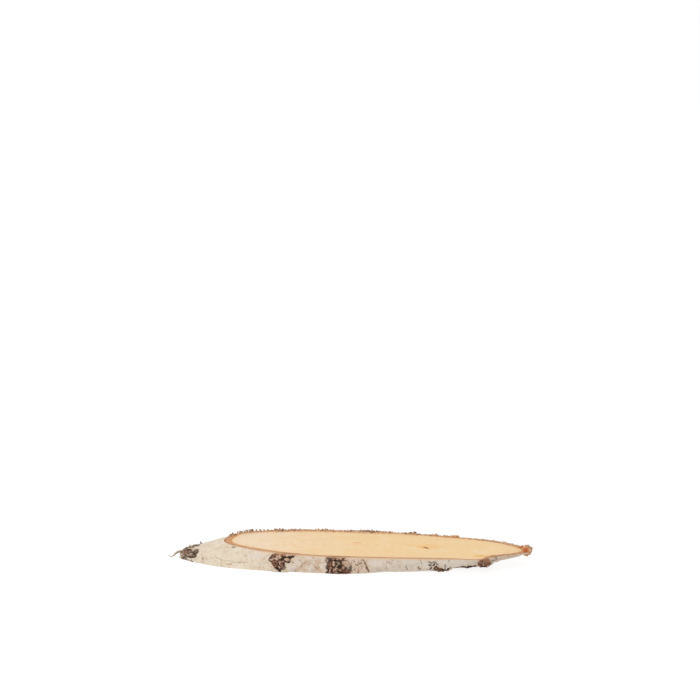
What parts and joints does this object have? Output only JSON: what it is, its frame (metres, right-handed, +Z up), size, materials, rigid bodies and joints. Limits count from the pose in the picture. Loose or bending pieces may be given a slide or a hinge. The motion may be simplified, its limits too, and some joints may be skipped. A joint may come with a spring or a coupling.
{
  "type": "birch wood slice",
  "caption": "Long oval slice of birch trunk sawn at a slant, with bare pale wood inside a ring of white bark with dark branch scars. Lies flat as a board, tray or display base.",
  "frame": {"origin": "centre of the bounding box on the surface that the slice lies on, in the plane of the lower saw cut", "axes": "+X along the slice towards the overhanging tip, +Y from the front to the back with its torn rim, +Z up"},
  "size_m": [0.3601, 0.0882, 0.02],
  "materials": {
    "sawn_wood": "pale sawn birch, dry and unfinished",
    "white_bark": "papery cream-white birch bark with fine lines, matt",
    "inner_bark": "orange-brown sawn and torn inner bark, matt",
    "scar_cork": "dark cracked cork of the branch scars, rough"
  },
  "bodies": {
    "root": {"birch_slice": "sawn_wood"}
  },
  "joints": []
}
